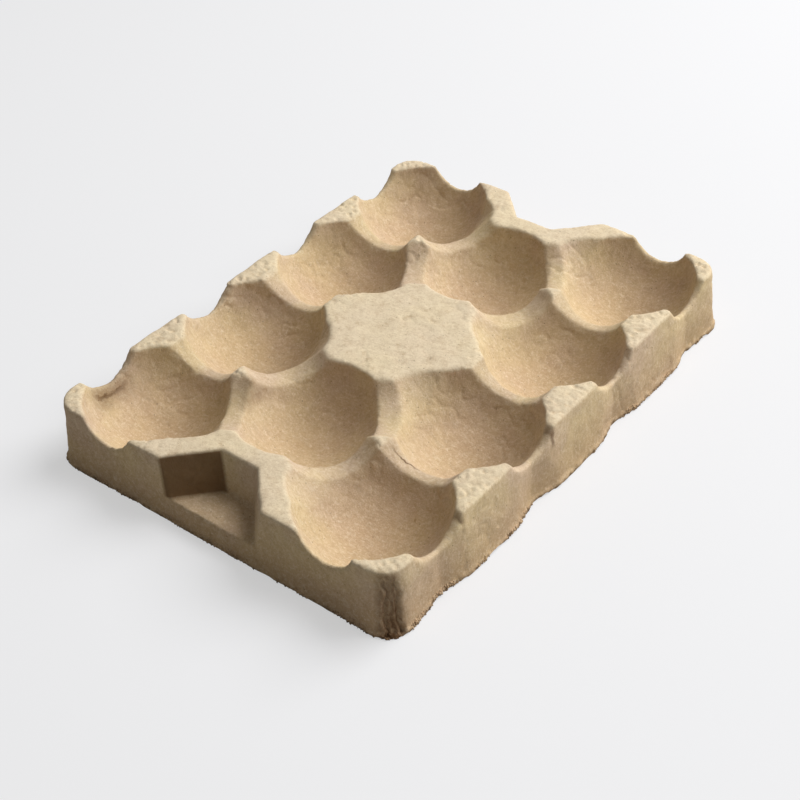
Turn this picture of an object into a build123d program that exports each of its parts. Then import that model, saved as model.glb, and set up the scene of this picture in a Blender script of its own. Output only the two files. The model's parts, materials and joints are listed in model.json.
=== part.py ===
from build123d import *
import os
from math import atan2, degrees, hypot, sqrt

# Moulded pulp tray for large fruit: ten round pockets in offset rows, one wall thick throughout.
# Millimetres. The origin is on the ground under the middle, +X along the tray, +Z up.

# Thickness and heights
height = 49.0                 # ground to the flat tops
wall = 2.8                    # thickness of the pulp
pocket_floor = 5.6            # ground to the top of the pulp at the bottom of a pocket

# Pockets in three rows of four, two and four
pitch = 94.0                  # from one pocket to the next along a row
row_ridge = 7.8               # thickness of the ridge between two pockets of a row, at its lowest
slant_ridge = 13.7            # the same between pockets of two rows
middle_shift = 2.8            # how far the two middle pockets lie beyond the pitch

# Saddles that join neighbouring pockets: half width at the tops, and the lowest point
row_saddle_half = 28.0
row_saddle_low = 32.0
slant_saddle_half = 27.5
slant_saddle_low = 33.5
slant_saddle_shift = 3.0      # away from the small flat between three pockets

# Ramp that widens each outer pocket towards the middle line, cut by a leaning bar
ramp_radius = 32.5
ramp_lean = 43.0              # lean of the bar from upright in degrees
ramp_step = 0.5               # how far the lower side of the bar stays inside the ball of the pocket

# Dips in the skirt beside each outer pocket
side_dip_half = 22.6
end_dip_half = 20.7
dip_low = 34.5

# Skirt: from the middles of the outer pockets to its top edge, and how far it flares down to the ground
end_rim = 46.0
side_rim = 48.5
end_flare = 3.5
side_flare = 4.9
skirt_corner = 17.0           # rounding of the four upright corners

# Posts of the skirt on the long sides, and the folds between them
top_post = 66.0               # straight stretch of each post
foot_post = 47.0
top_fold = 0.6                # depth of each fold
foot_fold = 5.7

# Trimmed edge round the foot
lip_reach = 1.5
lip_height = 3.0

# Notch in the middle of each short side
notch_mouth = 84.6            # at the skirt
notch_back = 30.0             # at the back wall
notch_depth = 28.5
notch_floor = 17.9            # ground to the floor of the notch
notch_draft = 10.0            # lean of its walls in degrees

round_over = 1.2              # rounding of every edge above the skirt


def ball_radius(reach, rise):
    """Radius of a ball that is this far out from its middle at this height above its lowest point."""
    return (reach**2 + rise**2) / (2 * rise)


def ball_reach(radius, rise):
    return sqrt(radius**2 - (radius - rise) ** 2)


pocket_radius = ball_radius((pitch - row_ridge) / 2, row_saddle_low - pocket_floor)
slant_pitch = 2 * ball_reach(pocket_radius, slant_saddle_low - pocket_floor) + slant_ridge
row_offset = sqrt(slant_pitch**2 - (pitch / 2) ** 2)      # from the middle line to each outer row
top_x = 1.5 * pitch + end_rim
top_y = row_offset + side_rim


def skirt_outline(x_end, y_post, fold, post, inset):
    """Outline of the skirt at one level, with three posts and four folds on each long side."""
    x_end, y_post = x_end - inset, y_post - inset
    y_fold = y_post - fold
    side = [(-x_end, y_post), (-1.5 * pitch, y_fold)]
    for column in (-1, 0, 1):
        x = column * pitch
        side += [(x - post / 2, y_post), (x + post / 2, y_post), (x + pitch / 2, y_fold)]
    side.append((x_end, y_post))
    other_side = [(-x, -y) for x, y in side]
    with BuildSketch() as sketch:
        with BuildLine():
            Polyline(*side, *other_side, close=True)
        make_face()
        ends = sketch.vertices().filter_by(lambda v: abs(abs(v.X) - x_end) < 0.01)
        fillet(ends, skirt_corner - inset)
    return sketch.sketch


def foot_outline(inset):
    return skirt_outline(top_x + end_flare, top_y + side_flare, foot_fold, foot_post, inset)


def block(inset):
    """The tray before anything is cut: a low block with leaning, folded sides."""
    top = skirt_outline(top_x, top_y, top_fold, top_post, inset)
    return loft([foot_outline(inset), Pos(0, 0, height - inset) * top], ruled=True)


def pocket(x, y, inset):
    """A ball that runs up into a straight shaft."""
    shaft = Cylinder(pocket_radius + inset, height, align=(Align.CENTER, Align.CENTER, Align.MIN))
    return Pos(x, y, pocket_floor + pocket_radius) * (Sphere(pocket_radius + inset) + shaft)


def ramp(x, y, turn, inset):
    """A bar that starts inside the ball of a pocket and rises out of it at a lean."""
    bar = Cylinder(ramp_radius + inset, 2 * height, align=(Align.CENTER, Align.CENTER, Align.MIN))
    lean = Pos(x, y, pocket_floor + pocket_radius) * Rot(0, 0, turn) * Rot(0, -ramp_lean, 0)
    return lean * Pos(ramp_radius + ramp_step - pocket_radius, 0, 0) * bar


def trough(half, low, length, inset, align=Align.CENTER):
    """A round bar along X that cuts a trough of this half width at the tops and this lowest point."""
    radius = ball_radius(half, height - low)
    bar = Rot(0, 90, 0) * Cylinder(radius + inset, length, align=(Align.CENTER, Align.CENTER, align))
    return Pos(0, 0, low + radius) * bar


def saddle(start, end, half, low, shift, inset):
    """The trough between two pockets. A shift moves it to the left of the way from start to end."""
    run_x, run_y = end[0] - start[0], end[1] - start[1]
    bar = trough(half, low, 0.9 * hypot(run_x, run_y), inset)
    middle = Location((start[0] + run_x / 2, start[1] + run_y / 2, 0), (0, 0, degrees(atan2(run_y, run_x))))
    return middle * Pos(0, shift, 0) * bar


def dip(x, y, turn, half, inset):
    """The trough from a pocket out through the skirt."""
    return Location((x, y, 0), (0, 0, turn)) * trough(half, dip_low, pitch, inset, Align.MIN)


def notch(turn, inset):
    x_back, x_out = top_x - notch_depth, top_x + notch_depth
    y_out = notch_mouth - notch_back / 2
    with BuildSketch(Plane.XY.offset(height)) as sketch:
        with BuildLine():
            Polyline(
                (x_back, notch_back / 2),
                (x_out, y_out),
                (x_out, -y_out),
                (x_back, -notch_back / 2),
                close=True,
            )
        make_face()
        if inset:
            offset(amount=inset, kind=Kind.INTERSECTION)
    depth = height - notch_floor + inset
    return Rot(0, 0, turn) * extrude(sketch.sketch, -depth, taper=notch_draft)


def hollows(inset):
    """Everything that is cut from the block, each grown by the inset."""
    cuts = []
    for side in (-1, 1):
        y = side * row_offset
        for column in (-1.5, -0.5, 0.5, 1.5):
            cuts.append(pocket(column * pitch, y, inset))
            cuts.append(dip(column * pitch, y, 90 * side, side_dip_half, inset))
        for column in (-1, 0, 1):
            start, end = ((column - 0.5) * pitch, y), ((column + 0.5) * pitch, y)
            cuts.append(saddle(start, end, row_saddle_half, row_saddle_low, 0, inset))
    for end in (-1, 1):
        middle_x = end * (pitch + middle_shift)
        cuts.append(pocket(middle_x, 0, inset))
        cuts.append(notch(90 - 90 * end, inset))
        for side in (-1, 1):
            y = side * row_offset
            cuts.append(dip(end * 1.5 * pitch, y, 90 - 90 * end, end_dip_half, inset))
            for column, way in ((0.5, 1), (1.5, -1)):
                shift = way * end * side * slant_saddle_shift
                start, stop = (middle_x, 0), (end * column * pitch, y)
                cuts.append(saddle(start, stop, slant_saddle_half, slant_saddle_low, shift, inset))
    for side in (-1, 1):
        for column in (-1.5, -0.5, 0.5, 1.5):
            cuts.append(ramp(column * pitch, side * row_offset, 90 * side, inset))
    return cuts


def moulded_form(inset):
    """The tray's outer form, or with an inset the form of the space under the pulp."""
    form = block(inset)
    for cut in hollows(inset):
        form -= cut
    return form


def tray():
    outside = moulded_form(0)
    above_skirt = outside.edges().filter_by(lambda e: e.bounding_box().min.Z > notch_floor - 1)
    outside = fillet(above_skirt, round_over)
    lip = extrude(offset(foot_outline(0), lip_reach), lip_height)
    return outside + lip - moulded_form(wall)


os.makedirs("parts", exist_ok=True)
export_step(tray(), "parts/tray.step")
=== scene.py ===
import json
import math
import random

import bpy
from mathutils import Matrix, Vector, noise

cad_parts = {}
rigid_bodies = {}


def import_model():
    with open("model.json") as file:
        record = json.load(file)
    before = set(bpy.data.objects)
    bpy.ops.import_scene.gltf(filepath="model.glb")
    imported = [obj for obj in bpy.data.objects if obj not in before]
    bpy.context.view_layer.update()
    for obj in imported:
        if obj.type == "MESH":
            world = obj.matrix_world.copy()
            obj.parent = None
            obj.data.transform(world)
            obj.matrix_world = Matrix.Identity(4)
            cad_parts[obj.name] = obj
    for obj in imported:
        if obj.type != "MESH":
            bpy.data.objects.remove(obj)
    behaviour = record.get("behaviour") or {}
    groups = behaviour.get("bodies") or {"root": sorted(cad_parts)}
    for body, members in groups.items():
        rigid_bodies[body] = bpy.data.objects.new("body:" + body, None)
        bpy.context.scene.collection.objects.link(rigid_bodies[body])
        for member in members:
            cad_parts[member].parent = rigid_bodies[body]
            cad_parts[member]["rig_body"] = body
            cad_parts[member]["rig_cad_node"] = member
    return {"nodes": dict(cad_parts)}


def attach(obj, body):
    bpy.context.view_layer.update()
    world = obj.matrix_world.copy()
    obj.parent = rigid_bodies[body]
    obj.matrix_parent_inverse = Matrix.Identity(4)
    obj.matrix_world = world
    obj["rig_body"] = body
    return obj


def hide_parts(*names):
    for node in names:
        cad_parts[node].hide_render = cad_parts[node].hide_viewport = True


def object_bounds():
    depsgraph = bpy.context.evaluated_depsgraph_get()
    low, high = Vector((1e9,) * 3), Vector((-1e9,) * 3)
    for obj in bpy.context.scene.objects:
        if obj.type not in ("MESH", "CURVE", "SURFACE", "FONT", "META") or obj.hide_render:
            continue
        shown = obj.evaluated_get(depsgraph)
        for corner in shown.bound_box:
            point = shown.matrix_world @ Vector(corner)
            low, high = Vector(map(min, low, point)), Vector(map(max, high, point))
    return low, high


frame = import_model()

mm = 0.001
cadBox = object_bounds()
noise.seed_set(5)       # without it the vector noise differs from run to run
print("frame loaded")


def linearColour(hexText):
    # sRGB hex to the linear colour that a shader socket takes
    parts = [int(hexText[i:i + 2], 16) / 255 for i in (1, 3, 5)]
    return [p / 12.92 if p <= 0.04045 else ((p + 0.055) / 1.055) ** 2.4 for p in parts] + [1.0]


def addNode(tree, kind, settings=None, inputs=None):
    # one shader node, its settings, and for each input a fixed value or the socket that feeds it
    node = tree.nodes.new(kind)
    for name, value in (settings or {}).items():
        setattr(node, name, value)
    for name, value in (inputs or {}).items():
        if isinstance(value, bpy.types.NodeSocket):
            tree.links.new(value, node.inputs[name])
        else:
            node.inputs[name].default_value = value
    return node


def newMaterial(name):
    material = bpy.data.materials.new(name)
    material.use_nodes = True
    material.node_tree.nodes.clear()
    return material, material.node_tree


# Camera, fitted to the photograph's view
cameraLook = {
    "place": (-605.3, -509.8, 627.3),    # mm from the middle of the tray
    "azimuth": -49.63,                   # degrees round the tray, 0 looks along +Y
    "elevation": 38.95,
    "roll": -3.62,
    "focal": 65.78,                      # mm, for the sensor below
    "sensor": 36,                        # mm
    "farthest": 50,                      # metres
}


def makeCamera():
    turn, rise, roll = (math.radians(cameraLook[k]) for k in ("azimuth", "elevation", "roll"))
    back = Vector((math.sin(turn) * math.cos(rise), -math.cos(turn) * math.cos(rise), math.sin(rise)))
    right = Vector((0, 0, 1)).cross(back).normalized()
    pose = Matrix((right, back.cross(right), back)).transposed().to_4x4()
    bpy.ops.object.camera_add()
    camera = bpy.context.active_object
    place = Matrix.Translation(Vector(cameraLook["place"]) * mm)
    camera.matrix_world = place @ pose @ Matrix.Rotation(roll, 4, "Z")
    camera.data.sensor_width = cameraLook["sensor"]
    camera.data.lens = cameraLook["focal"]
    camera.data.clip_end = cameraLook["farthest"]
    bpy.context.scene.camera = camera


makeCamera()
print("camera placed")


# Light: one wide soft box to the right of the view, a dim studio all round, a pale floor
lightLook = {
    "boxTurn": 32.0,                 # degrees from +X towards -Y
    "boxRise": 49.0,                 # degrees above the floor
    "boxDistance": 2600.0,           # mm
    "boxSize": 2100.0,               # mm
    "boxPower": 95.0,                # W
    "roomLevel": 0.17,               # what the studio throws on the tray
    "backdropLevel": 0.93,           # what the camera sees of it
    "floorColour": "#BDB8B0",        # what the floor throws back on the tray
    "floorSeenColour": "#9E9EA0",    # what the camera sees of it, with the glow below added
    "floorGlow": 0.51,
    "floorFade": (1800.0, 4200.0),   # mm from the middle: from that glow to the level of the backdrop
    "floorSize": 9000.0,             # mm
}


def seenDirectly(tree):
    # 1 for the rays of the camera, of gloss and of clear things, which are to show a pale studio
    path = addNode(tree, "ShaderNodeLightPath")
    seen = path.outputs["Is Camera Ray"]
    for kind in ("Is Glossy Ray", "Is Transmission Ray"):
        either = {0: seen, 1: path.outputs[kind]}
        seen = addNode(tree, "ShaderNodeMath", {"operation": "MAXIMUM"}, either).outputs[0]
    return seen


def makeLight():
    turn, rise = math.radians(-lightLook["boxTurn"]), math.radians(lightLook["boxRise"])
    way = Vector((math.cos(turn) * math.cos(rise), math.sin(turn) * math.cos(rise), math.sin(rise)))
    bpy.ops.object.light_add(type="AREA", location=way * lightLook["boxDistance"] * mm)
    box = bpy.context.active_object
    box.data.shape = "SQUARE"
    box.data.size = lightLook["boxSize"] * mm
    box.data.energy = lightLook["boxPower"]
    box.rotation_euler = way.to_track_quat("Z", "Y").to_euler()


def makeStudio():
    world = bpy.data.worlds.new("studio")
    world.use_nodes = True
    tree = world.node_tree
    tree.nodes.clear()
    room, shown = (
        addNode(tree, "ShaderNodeBackground", None, {"Color": (1, 1, 1, 1), "Strength": lightLook[level]})
        for level in ("roomLevel", "backdropLevel")
    )
    both = addNode(tree, "ShaderNodeMixShader", None, {
        0: seenDirectly(tree), 1: room.outputs[0], 2: shown.outputs[0],
    })
    addNode(tree, "ShaderNodeOutputWorld", None, {"Surface": both.outputs[0]})
    bpy.context.scene.world = world


def makeFloor():
    bpy.ops.mesh.primitive_plane_add(size=lightLook["floorSize"] * mm)
    floor = bpy.context.active_object
    floor.name = "studioFloor"
    material, tree = newMaterial("palePaperSweep")
    paper = addNode(tree, "ShaderNodeBsdfDiffuse", None, {"Color": linearColour(lightLook["floorColour"])})
    lit = addNode(tree, "ShaderNodeBsdfDiffuse", None, {"Color": linearColour(lightLook["floorSeenColour"])})
    place = addNode(tree, "ShaderNodeTexCoord").outputs["Object"]
    away = addNode(tree, "ShaderNodeVectorMath", {"operation": "LENGTH"}, {0: place}).outputs["Value"]
    near, far = lightLook["floorFade"]
    level = addNode(tree, "ShaderNodeMapRange", None, {
        "Value": away, "From Min": near * mm, "From Max": far * mm,
        "To Min": lightLook["floorGlow"], "To Max": lightLook["backdropLevel"],
    }).outputs[0]
    glow = addNode(tree, "ShaderNodeEmission", None, {"Strength": level})
    shown = addNode(tree, "ShaderNodeAddShader", None, {0: lit.outputs[0], 1: glow.outputs[0]})
    both = addNode(tree, "ShaderNodeMixShader", None, {
        0: seenDirectly(tree), 1: paper.outputs[0], 2: shown.outputs[0],
    })
    addNode(tree, "ShaderNodeOutputMaterial", None, {"Surface": both.outputs[0]})
    floor.data.materials.append(material)


makeLight()
makeStudio()
makeFloor()
print("light and floor made")


# The tray: a copy of the solid's mesh, made even and given the unevenness of dried pulp.
# Lengths are in mm; "by" is how far the skin moves and "over" the spacing of the unevenness.
tray = {
    "merge": 0.001,
    "voxel": 1.45,
    "roundings": 5,          # smoothing rounds, which turn the edges of the tops into soft rolls
    "rounding": 0.5,         # strength of each
    "notchFrom": 155.0,      # beyond this along the tray, and nearer than the next to its middle line,
    "notchHalf": 47.0,       # lie the notches, which keep their crisp corners
    "thinned": 0.37,         # share of the triangles that stay, most of them where the skin is rough
    "outside": -0.03,        # upward part of the normal, over which a place is on the outer skin
    "shrink": 0.6,           # off the height, so that the bent tray stays inside the solid's box
    "warp": {"by": 0.9, "over": 75.0},
    "lump": {"by": 0.55, "over": 13.0},
    "felt": {"by": 0.30, "over": 3.4},
    "wrinkle": {"by": 0.55, "over": 12.0, "valley": 0.10},       # the last is the width of a valley
    "patch": {"over": 40.0, "shift": (7, 3, 5), "more": 0.1, "gain": 3},       # where wrinkles lie
    "crust": {"by": 2.6, "over": 3.0, "from": 0.12},             # pits in the tops of the posts
    "postTops": {"way": 0.8, "above": 46, "beside": 55},         # and where those tops are
    "torn": {"by": 1.5, "over": 2.6, "under": 5.0, "way": 0.8, "inward": 0.25},     # band at the foot
    "tornCoarse": {"by": 0.6, "over": 3.3},                      # times the felt and spacing of the band
    "gap": {"by": 2.4, "over": 10.0, "under": 1.8, "level": 9, "more": 0.05},       # foot off the ground
}

# The front corner, where the pulp was pinched in: folds, and a gutter between them. Their places are
# shares of the corner's quarter turn.
pinch = {
    "middle": (-173.5, -126.2),      # mm, middle of the corner's round
    "radius": 17.5,                  # mm
    "band": 6,                       # mm inside that radius
    "depth": 3.2,                    # mm
    "top": 46,                       # mm
    "fade": 6,                       # mm below the top
    "wander": {"by": 0.12, "over": 9, "at": (3, 1)},
    "gutterFrom": 0.26,
    "gutterTo": 0.72,
    "gutterEdges": (0.1, 0.08),
    "gutterDepth": 0.45,
    "folds": ((0.3, 0.8), (0.47, 0.35), (0.68, 1.0)),       # place and depth
    "foldWidth": 0.07,
}


def copyOfNode(nodeName, pieceName):
    bpy.ops.object.select_all(action="DESELECT")
    source = frame["nodes"][nodeName]
    source.select_set(True)
    bpy.context.view_layer.objects.active = source
    bpy.ops.object.duplicate(linked=False)
    piece = bpy.context.active_object
    bpy.ops.object.parent_clear(type="CLEAR_KEEP_TRANSFORM")
    piece.name = piece.data.name = pieceName
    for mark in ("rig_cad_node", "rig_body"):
        del piece[mark]
    piece.data.materials.clear()
    bpy.ops.object.mode_set(mode="EDIT")
    bpy.ops.mesh.select_all(action="SELECT")
    bpy.ops.mesh.remove_doubles(threshold=tray["merge"] * mm)
    bpy.ops.object.mode_set(mode="OBJECT")
    return piece


def applyModifier(piece, kind, **settings):
    modifier = piece.modifiers.new(kind.lower(), kind)
    for name, value in settings.items():
        setattr(modifier, name, value)
    bpy.context.view_layer.objects.active = piece
    bpy.ops.object.modifier_apply(modifier=modifier.name)


def keepInBox(piece):
    # no vertex leaves the box of the CAD solid
    low, high = cadBox
    for vertex in piece.data.vertices:
        vertex.co = [min(max(c, a), b) for c, a, b in zip(vertex.co, low, high)]


def skinDepth(place, way):
    # how far the outer skin moves out along its normal at this place, in mm
    felt, wrinkle, patch, crust, tops = (tray[k] for k in ("felt", "wrinkle", "patch", "crust", "postTops"))
    torn, coarse = tray["torn"], tray["tornCoarse"]
    depth = noise.noise(place / felt["over"]) * felt["by"]
    valley = 1 - min(abs(noise.noise(place / wrinkle["over"])) / wrinkle["valley"], 1)
    wrinkled = max(noise.noise(place / patch["over"] + Vector(patch["shift"])) + patch["more"], 0)
    depth -= valley * min(wrinkled * patch["gain"], 1) * wrinkle["by"]
    if way.z > tops["way"] and place.z > tops["above"] and abs(place.y) > tops["beside"]:
        depth -= max(noise.noise(place / crust["over"]) - crust["from"], 0) * crust["by"]
    if place.z < torn["under"] and way.z < torn["way"]:
        rag = noise.noise(place / torn["over"])
        rag += coarse["by"] * noise.noise(place / (coarse["over"] * torn["over"]))
        depth += (rag - torn["inward"]) * torn["by"] * (1 - place.z / torn["under"]) ** 0.5
    return depth - pinchDepth(place)


def pinchDepth(place):
    x, y = place.x - pinch["middle"][0], place.y - pinch["middle"][1]
    inner = pinch["radius"] - pinch["band"]
    if x > 0 or y > 0 or math.hypot(x, y) < inner or place.z > pinch["top"]:
        return 0
    wander = pinch["wander"]
    shift = wander["by"] * noise.noise(Vector((*wander["at"], place.z / wander["over"])))
    turn = math.atan2(-y, -x) / (math.pi / 2) + shift
    first, last = pinch["gutterEdges"]
    rise = min(max((turn - pinch["gutterFrom"]) / first, 0), 1)
    fall = min(max((pinch["gutterTo"] - turn) / last, 0), 1)
    gutter = rise * fall * pinch["gutterDepth"]
    folds = sum(max(1 - abs(turn - at) / pinch["foldWidth"], 0) * share for at, share in pinch["folds"])
    return pinch["depth"] * (gutter + folds) * min((pinch["top"] - place.z) / pinch["fade"], 1)


def roughen(piece):
    warp, lump, gap = (tray[k] for k in ("warp", "lump", "gap"))
    height = cadBox[1][2] / mm
    vertices = piece.data.vertices
    ways = [v.normal.copy() for v in vertices]      # read first, because a moved vertex makes them all stale
    for vertex, way in zip(vertices, ways):
        place = vertex.co / mm
        move = noise.noise_vector(place / warp["over"]) * warp["by"]
        move += way * noise.noise(place / lump["over"]) * lump["by"]
        if way.z > tray["outside"]:
            move += way * skinDepth(place, way)
        move.z -= tray["shrink"] * place.z / height
        if place.z < gap["under"]:
            spot = Vector((place.x, place.y, gap["level"])) / gap["over"]
            move.z += max(noise.noise(spot) + gap["more"], 0) * gap["by"]
        vertex.co += move * mm


def inNotch(place):
    return abs(place.x) > tray["notchFrom"] * mm and abs(place.y) < tray["notchHalf"] * mm


def softenEdges(piece):
    soft = piece.vertex_groups.new(name="soft")
    soft.add([v.index for v in piece.data.vertices if not inNotch(v.co)], 1.0, "REPLACE")
    applyModifier(piece, "SMOOTH", factor=tray["rounding"], iterations=tray["roundings"], vertex_group="soft")


def makeTray():
    piece = copyOfNode("tray", "pulpTray")
    applyModifier(piece, "REMESH", mode="VOXEL", voxel_size=tray["voxel"] * mm, adaptivity=0)
    softenEdges(piece)
    roughen(piece)
    applyModifier(piece, "DECIMATE", ratio=tray["thinned"], use_collapse_triangulate=True)
    keepInBox(piece)
    bpy.ops.object.shade_smooth()
    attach(piece, "root")
    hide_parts("tray")
    return piece


trayPiece = makeTray()
print("tray made:", len(trayPiece.data.polygons), "triangles")


# The torn edge round the foot: crumbs and flakes of pulp left where the tray was trimmed
fringe = {
    "count": 1500,
    "seed": 5,
    "reach": 4.2,            # mm above the ground
    "ways": (-0.4, 0.9),     # least and most upward part of the normal where a crumb sits
    "patchOver": 17.0,       # mm, spacing of the thick and thin stretches
    "patchFrom": 0.08,       # more of this leaves more places bare
    "thinning": 0.08,        # a mm, how fast they get bare with height
    "frontFrom": -110,       # mm, before this along the tray the edge is thicker
    "frontMore": 0.35,       # by this much
    "size": (0.5, 1.5),      # mm, half length
    "width": (0.45, 0.8),    # share of the length
    "thickness": (0.3, 0.5),
    "sunk": 0.1,             # mm into the skin
    "crumple": {"by": 0.35, "over": 1.1},       # mm
    "batch": 60,             # joined by the batch, which is far quicker
}


def crumbSpots():
    least, most = fringe["ways"]
    spots = []
    for vertex in trayPiece.data.vertices:
        if vertex.co.z < fringe["reach"] * mm and least < vertex.normal.z < most:
            place = vertex.co / mm
            front = fringe["frontMore"] if place.x < fringe["frontFrom"] else 0.0
            thick = noise.noise(place / fringe["patchOver"]) + front
            if thick > fringe["patchFrom"] + fringe["thinning"] * place.z:
                spots.append((vertex.co.copy(), vertex.normal.copy()))
    return spots


def makeFringe():
    chance = random.Random(fringe["seed"])
    spots = crumbSpots()
    chosen = chance.sample(spots, min(fringe["count"], len(spots)))
    piece = None
    crumbs = []
    for number, (place, way) in enumerate(chosen, 1):
        size = chance.uniform(*fringe["size"]) * mm
        shape = (size, size * chance.uniform(*fringe["width"]), size * chance.uniform(*fringe["thickness"]))
        turn = [chance.uniform(0, 2 * math.pi) for _ in range(3)]
        spot = place - way * fringe["sunk"] * mm
        bpy.ops.mesh.primitive_ico_sphere_add(
            subdivisions=1, radius=1, location=spot, rotation=turn, scale=shape
        )
        crumbs.append(bpy.context.active_object)
        if number % fringe["batch"] and number < len(chosen):
            continue
        bpy.ops.object.select_all(action="DESELECT")
        for crumb in crumbs + [piece] * bool(piece):
            crumb.select_set(True)
        bpy.context.view_layer.objects.active = crumbs[0]
        bpy.ops.object.join()
        piece = bpy.context.active_object
        crumbs = []
    piece.name = piece.data.name = "tornFringe"
    bpy.ops.object.transform_apply(location=True, rotation=True, scale=True)
    crumple = fringe["crumple"]
    for vertex in piece.data.vertices:
        vertex.co += noise.noise_vector(vertex.co / mm / crumple["over"]) * crumple["by"] * mm
    keepInBox(piece)
    bpy.ops.object.shade_smooth()
    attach(piece, "root")
    return piece


fringePiece = makeFringe()
print("torn edge made:", len(fringePiece.data.polygons), "triangles")


# Moulded waste-paper pulp, dried on a wire mould: dull tan felt of short fibres, a little pink or
# yellow from batch to batch, with dark specks of old print and no shine
pulpLook = {
    "colours": {
        "pink": "#CDB59A",
        "yellow": "#D5BF96",
        "top": "#E2D2B4",        # lighter flat tops: partly painted light where they face the lamp, partly the paler pressed surface
        "bowl": "#B99A76",       # painted shade, darker low in the pockets
        "fibre": "#EBDDC2",      # crests of the felt
        "dip": "#A98C69",        # and the dips between them
        "speck": "#5F4A35",
        "foot": "#5E462D",       # dirt in the torn edge, and painted contact shade along the foot
        "fold": "#5A3A1D",       # painted shade in cracks, post-end slots and the pinched corner, and brown stains
        "wall": "#6E5233",       # painted shade on the shadowed wall of the front notch
    },
    "noises": {                  # size in mm, detail, distortion
        "cloud": (42.0, 3.0, 0.0),
        "mottle": (8.0, 4.0, 0.5),
        "fibres": (1.5, 5.0, 1.2),       # coarser than real fibres so that they show
        "dirt": (2.4, 4.0, 0.0),
        "grit": (0.9, 4.0, 0.6),
    },
    "streak": {"across": 1.5, "along": 4.2, "detail": 3.0, "distortion": 0.8},       # mm
    "streakTilt": (0.5, 0.4),                                                        # radians
    "streakTurns": {"leftStreaks": 0.6, "rightStreaks": 2.3, "creases": 1.57},       # radians
    "speckSpacing": 6.0,         # mm
    "cornerShadePlace": (-187.0, -136.5, 0.0),      # mm, the pinched corner, where its painted shade is laid
    # colours laid over each other, and the ramps that let each through: pattern, start, end, share at each
    "layers": [
        ("yellow", ("cloud", 0.38, 0.62, 0.0, 1.0)),
        # painted shade, from 40 mm down to 8 mm in the pockets, broken up by mottling
        ("bowl", ("height", 40.0, 8.0, 0.0, 0.75), ("mottle", 0.3, 0.7, 0.75, 1.0)),
        # painted light on the flat tops above 45.5 mm, together with the paler pressed surface
        ("top", ("height", 45.5, 48.2, 0.0, 0.7)),
        ("dip", ("mottle", 0.5, 0.3, 0.0, 0.3)),
        ("fibre", ("leftStreaks", 0.54, 0.72, 0.0, 0.22)),
        ("dip", ("leftStreaks", 0.46, 0.3, 0.0, 0.2)),
        ("fibre", ("rightStreaks", 0.54, 0.72, 0.0, 0.22)),
        ("dip", ("rightStreaks", 0.46, 0.3, 0.0, 0.2)),
        ("fibre", ("fibres", 0.52, 0.75, 0.0, 0.45)),
        ("dip", ("fibres", 0.48, 0.28, 0.0, 0.35)),
        ("speck", ("speck", 0.5, 0.3, 0.0, 0.6)),
        # painted contact shade and dirt in the lowest 3 mm of the foot
        ("foot", ("height", 3.0, 0.8, 0.0, 1.0), ("dirt", 0.36, 0.56, 0.0, 0.8)),
        # painted shade in the folds of the pinched corner, streaked along its creases
        (
            "fold",
            ("corner", 11.0, 4.4, 0.0, 0.85),
            ("height", 48.0, 44.0, 0.0, 1.0),
            ("creases", 0.35, 0.6, 0.55, 1.0),
        ),
    ],
    "wobble": {"over": 5.0, "by": 4.0, "detail": 3.0},       # mm, raggedness of the stains and of the painted shade
    "stainAndShadeFull": 0.35,           # share of each mark, stain and painted shade alike, that has its full strength
    "stainsAndShades": [                  # brown stains and painted shade: middle in mm, turn in degrees, half sizes in mm, strength
        ((-92.0, -75.5, 37.0), 99, (13.0, 0.8, 9.0), 0.75),          # painted shade of a crack in a saddle
        ((-146.0, 131.2, 34.0), 0, (17.0, 1.0, 9.0), 0.75),          # painted shade of a crack in the rim of a pocket
        ((-146.0, 130.0, 34.0), 0, (22.0, 9.0, 14.0), 0.45),         # and the brown patch round it
        ((-100.4, 46.5, 40.0), 0, (15.0, 10.0, 13.0), 0.35),         # patch on the left middle pocket
        ((-120.5, -136.2, 39.0), 0, (2.4, 5.0, 9.0), 0.75),          # painted shade in the slots at the ends of two posts
        ((-27.3, -137.3, 39.0), 0, (2.4, 5.0, 9.0), 0.7),
        ((-180.2, -137.2, 24.0), 0, (1.0, 4.0, 30.0), 0.7),          # painted shade in a crease of the pinched corner
    ],
    "wall": ((-174.7, 26.7, 32.9), 46.0, (5.5, 20.5, 15.5), 0.9),    # painted shade on that wall of the notch, in a box like a stain's
    "wallFull": 0.88,
    "gritHeight": 0.32,          # mm
    "roughness": 0.95,
    "ior": 1.45,
    "specular": 0.2,
}


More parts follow.
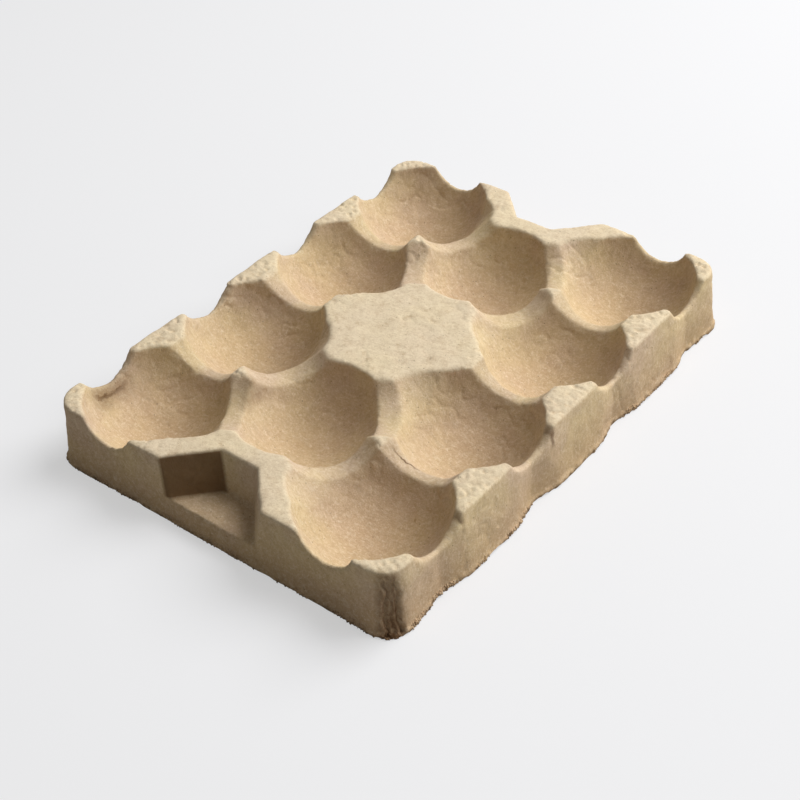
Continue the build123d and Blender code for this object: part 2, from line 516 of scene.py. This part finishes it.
def patternsOf(tree, place):
    # what the ramps read: noises from 0 to 1, and distances in mm
    patterns = {}
    for name, (size, detail, distortion) in pulpLook["noises"].items():
        patterns[name] = addNode(tree, "ShaderNodeTexNoise", None, {
            "Vector": place, "Scale": 1 / (size * mm), "Detail": detail, "Distortion": distortion,
        }).outputs[0]
    streak = pulpLook["streak"]
    squeeze = streak["across"] / streak["along"]
    for name, turn in pulpLook["streakTurns"].items():
        laid = addNode(tree, "ShaderNodeMapping", None, {
            "Vector": place, "Rotation": (*pulpLook["streakTilt"], turn), "Scale": (1, squeeze, squeeze),
        }).outputs[0]
        patterns[name] = addNode(tree, "ShaderNodeTexNoise", None, {
            "Vector": laid, "Scale": 1 / (streak["across"] * mm),
            "Detail": streak["detail"], "Distortion": streak["distortion"],
        }).outputs[0]
    spacing = pulpLook["speckSpacing"]
    dots = addNode(tree, "ShaderNodeTexVoronoi", None, {"Vector": place, "Scale": 1 / (spacing * mm)})
    height = addNode(tree, "ShaderNodeSeparateXYZ", None, {0: place}).outputs["Z"]
    away = addNode(tree, "ShaderNodeVectorMath", {"operation": "SUBTRACT"}, {
        0: place, 1: [c * mm for c in pulpLook["cornerShadePlace"]],
    }).outputs[0]
    flat = {0: away, 1: (1, 1, 0)}
    level = addNode(tree, "ShaderNodeVectorMath", {"operation": "MULTIPLY"}, flat).outputs[0]
    corner = addNode(tree, "ShaderNodeVectorMath", {"operation": "LENGTH"}, {0: level}).outputs["Value"]
    lengths = {
        "speck": (dots.outputs["Distance"], 1 / spacing),      # Voronoi counts in its own cells
        "height": (height, mm),
        "corner": (corner, mm),
    }
    for name, (length, unit) in lengths.items():
        inMm = addNode(tree, "ShaderNodeMath", {"operation": "DIVIDE"}, {0: length, 1: unit})
        patterns[name] = inMm.outputs[0]
    return patterns


def boxRamps(tree, place, middle, turn, halfSizes, share, full):
    # ramps that let a colour through inside a turned box, at this share where it is full
    turned = addNode(tree, "ShaderNodeMapping", {"vector_type": "TEXTURE"}, {
        "Vector": place, "Location": [c * mm for c in middle], "Rotation": (0, 0, math.radians(turn)),
    }).outputs[0]
    parts = addNode(tree, "ShaderNodeSeparateXYZ", None, {0: turned})
    ramps = []
    for axis, half, most in zip("XYZ", halfSizes, (share, 1.0, 1.0)):
        away = addNode(tree, "ShaderNodeMath", {"operation": "ABSOLUTE"}, {0: parts.outputs[axis]})
        ramps.append((away.outputs[0], half * mm, half * full * mm, 0.0, most))
    return ramps


def layColour(tree, below, colourName, ramps):
    # a colour laid over what is below, where every ramp lets it through
    share = 1.0
    for value, start, end, atStart, atEnd in ramps:
        ramp = addNode(tree, "ShaderNodeMapRange", None, {
            "Value": value, "From Min": start, "From Max": end, "To Min": atStart, "To Max": atEnd,
        }).outputs[0]
        share = addNode(tree, "ShaderNodeMath", {"operation": "MULTIPLY"}, {0: share, 1: ramp}).outputs[0]
    colour = linearColour(pulpLook["colours"][colourName])
    # inputs 6 and 7 and output 2 of a Mix node are its colours
    both = addNode(tree, "ShaderNodeMix", {"data_type": "RGBA"}, {"Factor": share, 6: below, 7: colour})
    return both.outputs[2]


def makePulp():
    material, tree = newMaterial("mouldedPaperPulp")
    place = addNode(tree, "ShaderNodeTexCoord").outputs["Object"]
    patterns = patternsOf(tree, place)
    body = linearColour(pulpLook["colours"]["pink"])
    for colourName, *ramps in pulpLook["layers"]:
        body = layColour(tree, body, colourName, [(patterns[name], *levels) for name, *levels in ramps])

    wobble = pulpLook["wobble"]
    ragged = addNode(tree, "ShaderNodeTexNoise", None, {
        "Vector": place, "Scale": 1 / (wobble["over"] * mm), "Detail": wobble["detail"],
    })
    bent = addNode(tree, "ShaderNodeVectorMath", {"operation": "MULTIPLY_ADD"}, {
        0: ragged.outputs["Color"], 1: (wobble["by"] * mm,) * 3, 2: place,
    }).outputs[0]
    # brown stains, and painted shade in cracks, post-end slots and the corner crease
    for middle, *form in pulpLook["stainsAndShades"]:
        shifted = [c + wobble["by"] / 2 for c in middle]     # the noise is a half on the average
        body = layColour(tree, body, "fold", boxRamps(tree, bent, shifted, *form, pulpLook["stainAndShadeFull"]))
    # painted shade on the notch's wall that faces away from the light
    body = layColour(tree, body, "wall", boxRamps(tree, place, *pulpLook["wall"], pulpLook["wallFull"]))

    bump = addNode(tree, "ShaderNodeBump", None, {
        "Height": patterns["grit"], "Strength": 1.0, "Distance": pulpLook["gritHeight"] * mm,
    })
    pulp = addNode(tree, "ShaderNodeBsdfPrincipled", None, {
        "Base Color": body, "Roughness": pulpLook["roughness"], "IOR": pulpLook["ior"],
        "Specular IOR Level": pulpLook["specular"], "Normal": bump.outputs[0],
    })
    addNode(tree, "ShaderNodeOutputMaterial", None, {"Surface": pulp.outputs[0]})
    return material


pulp = makePulp()
for piece in (trayPiece, fringePiece):
    piece.data.materials.append(pulp)
print("pulp made")

bpy.context.scene.view_settings.view_transform = "Standard"
